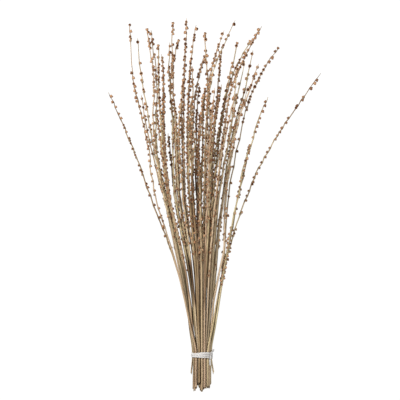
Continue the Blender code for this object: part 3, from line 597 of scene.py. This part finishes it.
class Finish:
    """A material, and the nodes that its looks are made of: a principled shader fed by noise and corner values."""

    def __init__(self, name, roughness):
        self.material = bpy.data.materials.new(name)
        self.material.use_nodes = True
        self.tree = self.material.node_tree
        self.shader = self.tree.nodes["Principled BSDF"]
        self.shader.inputs["Roughness"].default_value = roughness
        self.shader.inputs["Specular IOR Level"].default_value = 0.12

    def node(self, kind, settings, values, output=0):
        """Adds a node, sets its settings, then the values or links of its sockets, and returns one output."""
        made = self.tree.nodes.new(kind)
        for name, setting in settings.items():
            if name == "stops":
                for position, colour in setting[1:-1]:
                    made.color_ramp.elements.new(position)
                for element, (position, colour) in zip(made.color_ramp.elements, setting):
                    element.position = position
                    element.color = (*colour, 1)
            else:
                setattr(made, name, setting)
        for key, value in values.items():
            self.feed(made.inputs[key], value)
        return Socket(self, made.outputs[output])

    def feed(self, socket, value):
        if isinstance(value, Socket):
            self.tree.links.new(value.socket, socket)
        else:
            socket.default_value = value

    def attribute(self, name, output="Fac"):
        return self.node("ShaderNodeAttribute", {"attribute_name": name}, {}, output)

    def noise(self, vector, stretch, detail=2.0):
        """Noise on a stretched vector, from about 0 to 1."""
        scaled = self.node("ShaderNodeMapping", {}, {"Vector": vector, "Scale": stretch})
        return self.node("ShaderNodeTexNoise", {}, {"Vector": scaled, "Scale": 1.0, "Detail": detail}, "Fac")

    def mixed(self, factor, first, second, blend="MIX"):
        """The first colour where the factor is 0 and the second where it is 1."""
        settings = {"data_type": "RGBA", "blend_type": blend, "clamp_factor": True}
        return self.node("ShaderNodeMix", settings, {0: factor, 6: first, 7: second}, 2)

    def bump(self, height, strength, distance):
        values = {"Height": height, "Strength": strength, "Distance": distance}
        self.feed(self.shader.inputs["Normal"], self.node("ShaderNodeBump", {}, values))

    def paint(self, colour):
        self.feed(self.shader.inputs["Base Color"], colour)


# What the straw colour is multiplied by on the most olive and on the most rosy strand
OLIVE, ROSY = (0.95, 1.00, 0.88, 1), (1.03, 0.97, 1.05, 1)


def stem_finish():
    """Dry straw: its own tone and tint for each strand, long brown streaks, blotches, painted shade between stems and
    in the pith, and dark joints.
    """
    finish = Finish("dried_stem", 0.62)
    fibre = finish.attribute("fibre", "Vector")
    tone, shade = finish.attribute("tone"), finish.attribute("shade")
    streaks = finish.noise(fibre, (1000, 1000, 9), 3.0)
    blotches = finish.noise(fibre, (260, 260, 35))
    stops = [
        (0.00, (0.478, 0.383, 0.255)),
        (0.25, (0.442, 0.347, 0.218)),
        (0.50, (0.442, 0.346, 0.219)),
        (0.72, (0.375, 0.276, 0.171)),
        (0.86, (0.235, 0.155, 0.090)),
        (1.00, (0.080, 0.045, 0.022)),
    ]
    place = tone + (blotches - 0.5) * 0.35
    straw = finish.node("ShaderNodeValToRGB", {"stops": stops}, {"Fac": place})
    tint = finish.mixed(finish.attribute("warmth"), OLIVE, ROSY)
    straw = finish.mixed(1.0, straw, tint, "MULTIPLY")
    streaked = finish.mixed((streaks - 0.42) * 2.8, straw, (0.150, 0.092, 0.042, 1))
    # The shade value mixes in a dark brown: painted shade between stems and in the pith, and the dark joints.
    finish.paint(finish.mixed(shade, streaked, (0.022, 0.011, 0.004, 1)))
    finish.bump(streaks, 0.5, 0.0006)
    return finish.material


def cup_finish():
    """Woody cup: each cup has its own mottled brown, with painted shade at its foot and deepest in its hollow."""
    finish = Finish("dried_cup", 0.68)
    fibre = finish.attribute("fibre", "Vector")
    tone, shade = finish.attribute("tone"), finish.attribute("shade")
    mottle = finish.noise(fibre, (620, 620, 620), 3.0)
    stops = [
        (0.00, (0.390, 0.233, 0.133)),
        (0.40, (0.330, 0.178, 0.093)),
        (0.75, (0.228, 0.109, 0.052)),
        (1.00, (0.136, 0.061, 0.029)),
    ]
    brown = finish.node("ShaderNodeValToRGB", {"stops": stops}, {"Fac": tone + (mottle - 0.5) * 0.6})
    # The shade value mixes in a dark brown: painted shade.
    finish.paint(finish.mixed(shade, brown, (0.030, 0.013, 0.006, 1)))
    finish.bump(mottle, 0.6, 0.0008)
    return finish.material


def string_finish():
    """White flat string: fine threads along it, wrinkles greyed with painted shade, and a browner painted shade along
    its crease and edges.
    """
    finish = Finish("white_string", 0.5)
    fibre = finish.attribute("fibre", "Vector")
    shade = finish.attribute("shade")
    threads = finish.noise(fibre, (3600, 3600, 90), 2.0)
    wrinkles = finish.noise(fibre, (500, 500, 260), 2.0)
    # The warm grey that the wrinkle noise mixes into the white is painted shade of the wrinkles.
    white = finish.mixed(wrinkles, (0.52, 0.52, 0.53, 1), (0.39, 0.372, 0.348, 1))
    # The shade value mixes in brown: painted shade.
    finish.paint(finish.mixed(shade, white, (0.30, 0.25, 0.19, 1)))
    finish.bump(threads * 0.5 + wrinkles, 0.7, 0.0007)
    return finish.material


def floor_finish():
    """Plain white. Most of its brightness is its own, so that the shadows on it stay faint."""
    finish = Finish("pale_floor", 0.9)
    finish.shader.inputs["Base Color"].default_value = (0.04, 0.04, 0.04, 1)
    finish.shader.inputs["Emission Color"].default_value = (1, 1, 1, 1)
    finish.shader.inputs["Emission Strength"].default_value = 0.975
    return finish.material


# The string
STRING_HALF, STRING_FLAT = 0.0022, 0.0004  # its half width and half thickness
STRING_SIDES = 16
STRING_STEP = 0.0012  # from ring to ring along it
HELD = 0.0005  # together with its thickness, how far outside the stems its middle runs
OUTLINE_POINTS = 720  # round the stems
TURNS, PITCH = 3, 0.0029  # how often it is wound round them, and how far apart the turns are
WOUND_FROM = 0.04  # where the first turn starts: such places are in turns, from the right side over the top
CLIMB_RISE = (0.05, 0.16)  # where in each turn it climbs to the next one, and over how much of a turn
TIE_LEAN = 0.10  # how much it leans down in y where it is higher
LEAN_AT, LEANS_RIGHT = (0.8, 1.1, 1.8, 2.05), (-0.03, 0, 0, 0.10)  # and up in y towards the right, by turn
UNEVEN = 0.0002  # how unevenly it lies
SHINGLED = 0.26  # how far each turn is tipped, to lie on the one before, in radians
CREASE, CREASE_WIDTH = 0.45, 0.22  # the crease along its middle, as shares of its thickness and width
# Its end, by the share of the way from the knot to the tail's tip
END_AT, END_HEADINGS, END_Y = (0, 0.25, 0.45, 1), (8, 30, 37, 35), (0.0072, 0.0035, -0.0075, -0.0215)
END_WIDTH_AT, END_HALVES = (0, 0.42, 0.6, 0.95, 1), (0.0009, 0.0010, 0.0020, 0.0017, 0.0012)
END_FLAT_AT, END_FLATS = (0, 0.42, 0.6, 1), (0.0008, 0.0007, 0.0004, 0.0003)
END_TWIST = 7.0  # how far it is twisted at the knot, in radians
END_LIFT = 0.0006  # how far outside the turns its middle runs


def outline_points(strands, gap):
    """The closed line of a string drawn tight round the stems at the tie, as x and z, evenly spaced, and its length.

    In each direction it touches the stem that reaches furthest, and between two such stems it runs straight.
    """
    middles = np.array([strand.middle(0.0)[[0, 2]] for strand in strands])
    reaches = np.array([strand.radius(0.0) for strand in strands]) + gap
    angle = np.linspace(0, 2 * math.pi, OUTLINE_POINTS, endpoint=False)
    facing = np.stack([np.cos(angle), np.sin(angle)], axis=1)
    furthest = (middles @ facing.T + reaches[:, None]).argmax(axis=0)
    touched = middles[furthest] + reaches[furthest, None] * facing
    closed = np.vstack([touched, touched[:1]])
    run = np.append(0, np.cumsum(np.linalg.norm(np.diff(closed, axis=0), axis=1)))
    even = np.linspace(0, run[-1], OUTLINE_POINTS + 1)
    return np.stack([np.interp(even, run, closed[:, axis]) for axis in (0, 1)], axis=1), run[-1]


def add_string(shape, path, outward, half_width, half_thickness, wrinkle, twist, draw, offset):
    """Flat string carried along a path: a rounded strip with a crease along its middle, which twists and wrinkles.

    Its section is half_width * sin(t)^0.7 across and half_thickness * cos(t) thick, less the crease, and with four
    sine waves of the length and t added.
    """
    along, first, second = frames_along(path, outward)
    count = len(path)
    length = np.append(0, np.cumsum(np.linalg.norm(np.diff(path, axis=0), axis=1)))
    turn = np.arange(STRING_SIDES) * 2 * math.pi / STRING_SIDES
    waves = sum(
        np.sin(length[:, None] * draw.uniform(200, 900) + order * turn + draw.uniform(0, 6)) for order in (1, 2, 3, 2)
    )
    wide = half_width[:, None] * np.sign(np.sin(turn)) * np.abs(np.sin(turn)) ** 0.7
    crease = 1 - CREASE * np.exp(-((np.sin(turn) / CREASE_WIDTH) ** 2))
    thick = half_thickness[:, None] * np.cos(turn) * crease + wrinkle * waves
    spin_first = np.cos(twist)[:, None] * first + np.sin(twist)[:, None] * second
    spin_second = np.cos(twist)[:, None] * second - np.sin(twist)[:, None] * first
    grid = path[:, None] + thick[..., None] * spin_first[:, None] + wide[..., None] * spin_second[:, None]
    fibre = np.stack([
        np.broadcast_to(wide, (count, STRING_SIDES)), thick, np.broadcast_to(length[:, None], thick.shape),
    ], axis=-1).reshape(-1, 3)
    fibre = np.vstack([fibre, [[0, 0, length[0]], [0, 0, length[-1]]]]) + [0, 0, offset]
    # Painted shade: along the crease on one face, and at the two edges.
    fold_shade = 0.5 * np.exp(-((np.sin(turn) / 0.2) ** 2)) * (np.cos(turn) > 0) + 0.35 * np.abs(np.sin(turn)) ** 6
    shade = np.append(np.broadcast_to(fold_shade, (count, STRING_SIDES)).ravel(), [0.5, 0.5])
    shape.add_tube(grid, path[[0, -1]], 0, fibre, 0.0, shade)


def wound_string(strands, draw, material):
    """Three turns of flat string round the stems, each lying partly on the one before.

    The turns lean with the bundle: lower in y on top of it, the first one lower on the right and the last one higher.
    The string climbs from one turn to the next near the top right, where it crosses.
    """
    outline, around = outline_points(strands, HELD + 2 * STRING_FLAT)
    count = int(TURNS * around / STRING_STEP)
    run = np.linspace(WOUND_FROM, TURNS, count)
    laps = np.vstack([np.tile(outline[:-1], (TURNS, 1)), outline[:1]])
    x, z = (np.interp(run * OUTLINE_POINTS, np.arange(len(laps)), laps[:, axis]) for axis in (0, 1))
    climb = np.floor(run) + rise(run - np.floor(run), *CLIMB_RISE) - 2
    y = climb * PITCH - TIE_LEAN * (z - z.mean()) + np.interp(run, LEAN_AT, LEANS_RIGHT) * x
    y += 1.5 * UNEVEN * np.sin(run * 9.0) + UNEVEN * np.sin(run * 23.0)
    path = np.stack([x, y, z], axis=1)
    across = np.gradient(path, axis=0)
    outward = unit(np.stack([across[:, 2], 0 * x, -across[:, 0]], axis=1))
    path += UNEVEN * (np.sin(run * 2 * math.pi * 5)[:, None] + 1) * outward
    path[:, 2] = np.maximum(path[:, 2], STRING_FLAT + UNEVEN)
    shape = Shape()
    full = np.full(count, 1.0)
    add_string(
        shape, path, outward, STRING_HALF * full * (1 + 0.06 * np.sin(run * 31)), STRING_FLAT * full, 0.00004,
        SHINGLED + 0.10 * np.sin(run * 17), draw, 0.0,
    )
    return shape.piece("wound_string", [material])


def string_end(strands, draw, material):
    """The string's end: from the knot at the right it crosses the turns, twisted thin, and ends in a flat tail."""
    outline, _ = outline_points(strands, HELD + 2 * STRING_FLAT + END_LIFT)
    angle = np.arctan2(outline[:, 1] - outline[:, 1].mean(), outline[:, 0] - outline[:, 0].mean())
    order = np.argsort(angle[:-1])
    t = np.linspace(0, 1, 60)
    heading = np.radians(np.interp(t, END_AT, END_HEADINGS))
    x = np.interp(heading, angle[:-1][order], outline[:-1][order, 0])
    z = np.interp(heading, angle[:-1][order], outline[:-1][order, 1])
    y = np.interp(t, END_AT, END_Y)
    path = np.stack([x, y, z], axis=1)
    outward = unit(np.stack([0.5 * np.cos(heading), 0 * t, np.sin(heading) + 0.3], axis=1))
    lift = 0.0014 * (1 - rise(t, 0.42, 0.12)) - 0.0010 * rise(t, 0.5, 0.1) + 0.0012 * t**3  # over the turns, and down
    path += lift[:, None] * outward
    half = np.interp(t, END_WIDTH_AT, END_HALVES)
    thickness = np.interp(t, END_FLAT_AT, END_FLATS)
    twist = END_TWIST * (1 - rise(t, 0, 0.5))
    shape = Shape()
    add_string(shape, path, outward, half, thickness, 0.00005, twist, draw, 1.0)
    return shape.piece("string_tail", [material]), path[0]


def string_knot(at, draw, material):
    """The knot: a trefoil, whose line is (sin t + 2 sin 2t, cos t - 2 cos 2t, -sin 3t), flattened."""
    t = np.linspace(0.25, 2 * math.pi - 0.1, 70)
    trefoil = np.stack([np.sin(t) + 2 * np.sin(2 * t), np.cos(t) - 2 * np.cos(2 * t), -np.sin(3 * t)], axis=1)
    path = at + trefoil * [0.00050, 0.00072, 0.00060] + [0.0002, 0.0004, 0.0]
    shape = Shape()
    count = len(t)
    add_string(
        shape, path, np.tile([0.3, 0.2, 0.9], (count, 1)), np.full(count, 0.0008), np.full(count, 0.0006), 0.00003,
        2.0 * t, draw, 2.0,
    )
    return shape.piece("string_knot", [material])


def make_bundle():
    """The 57 strands, which all draw their own numbers, and the three pieces of string."""
    strands = [Strand(number, np.random.default_rng(STRAND_SEED + number)) for number in range(1, STRANDS + 1)]
    tones = np.random.default_rng(TONE_SEED)
    for strand in strands:
        strand.tone = TONES.get(strand.number, DARKEST_DRAWN * tones.random())
    for strand in strands:
        strand.warmth = tones.random()
    around = add_cups(strands)
    stem, cup, string = stem_finish(), cup_finish(), string_finish()
    for strand in strands:
        shape = Shape()
        add_stem(shape, strand, around)
        add_cup_grids(shape, strand)
        piece = shape.piece(f"dried_strand_{strand.number:02d}", [stem, cup])
        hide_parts(strand.node)
        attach(piece, "root")
    draw = np.random.default_rng(STRING_SEED)
    wound = wound_string(strands, draw, string)
    tail, knot_at = string_end(strands, draw, string)
    knot = string_knot(knot_at, draw, string)
    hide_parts("string_tie")
    for piece in (wound, tail, knot):
        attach(piece, "root")


def make_stage():
    """The floor, a soft light all round, two large soft lamps, and the camera straight above."""
    half = HALF_FLOOR
    mesh = bpy.data.meshes.new("floor")
    mesh.from_pydata([(-half, -half, 0), (half, -half, 0), (half, half, 0), (-half, half, 0)], [], [(0, 1, 2, 3)])
    mesh.materials.append(floor_finish())
    floor = bpy.data.objects.new("floor", mesh)
    bpy.context.scene.collection.objects.link(floor)
    world = bpy.data.worlds.new("soft_light")
    world.use_nodes = True
    world.node_tree.nodes["Background"].inputs["Color"].default_value = (1.0, 1.0, 1.0, 1)
    world.node_tree.nodes["Background"].inputs["Strength"].default_value = SOFT_LIGHT
    bpy.context.scene.world = world
    for name, place, size, power in LAMPS:
        light = bpy.data.lights.new(name, "AREA")
        light.size = size
        light.energy = power
        lamp = bpy.data.objects.new(name, light)
        bpy.context.scene.collection.objects.link(lamp)
        lamp.location = place
        heading = Vector(LIT_PLACE) - lamp.location
        lamp.rotation_euler = heading.to_track_quat("-Z", "Y").to_euler()
    data = bpy.data.cameras.new("camera")
    data.sensor_width = SENSOR_MM
    data.lens = SENSOR_MM * (CAMERA_HEIGHT - SEEN_HEIGHT) / PHOTO_WIDTH
    data.clip_start, data.clip_end = 1.0, 100.0
    camera = bpy.data.objects.new("camera", data)
    bpy.context.scene.collection.objects.link(camera)
    camera.location = (VIEW_X, VIEW_Y, CAMERA_HEIGHT)
    bpy.context.scene.camera = camera
    bpy.context.scene.view_settings.view_transform = "Standard"


make_bundle()
make_stage()
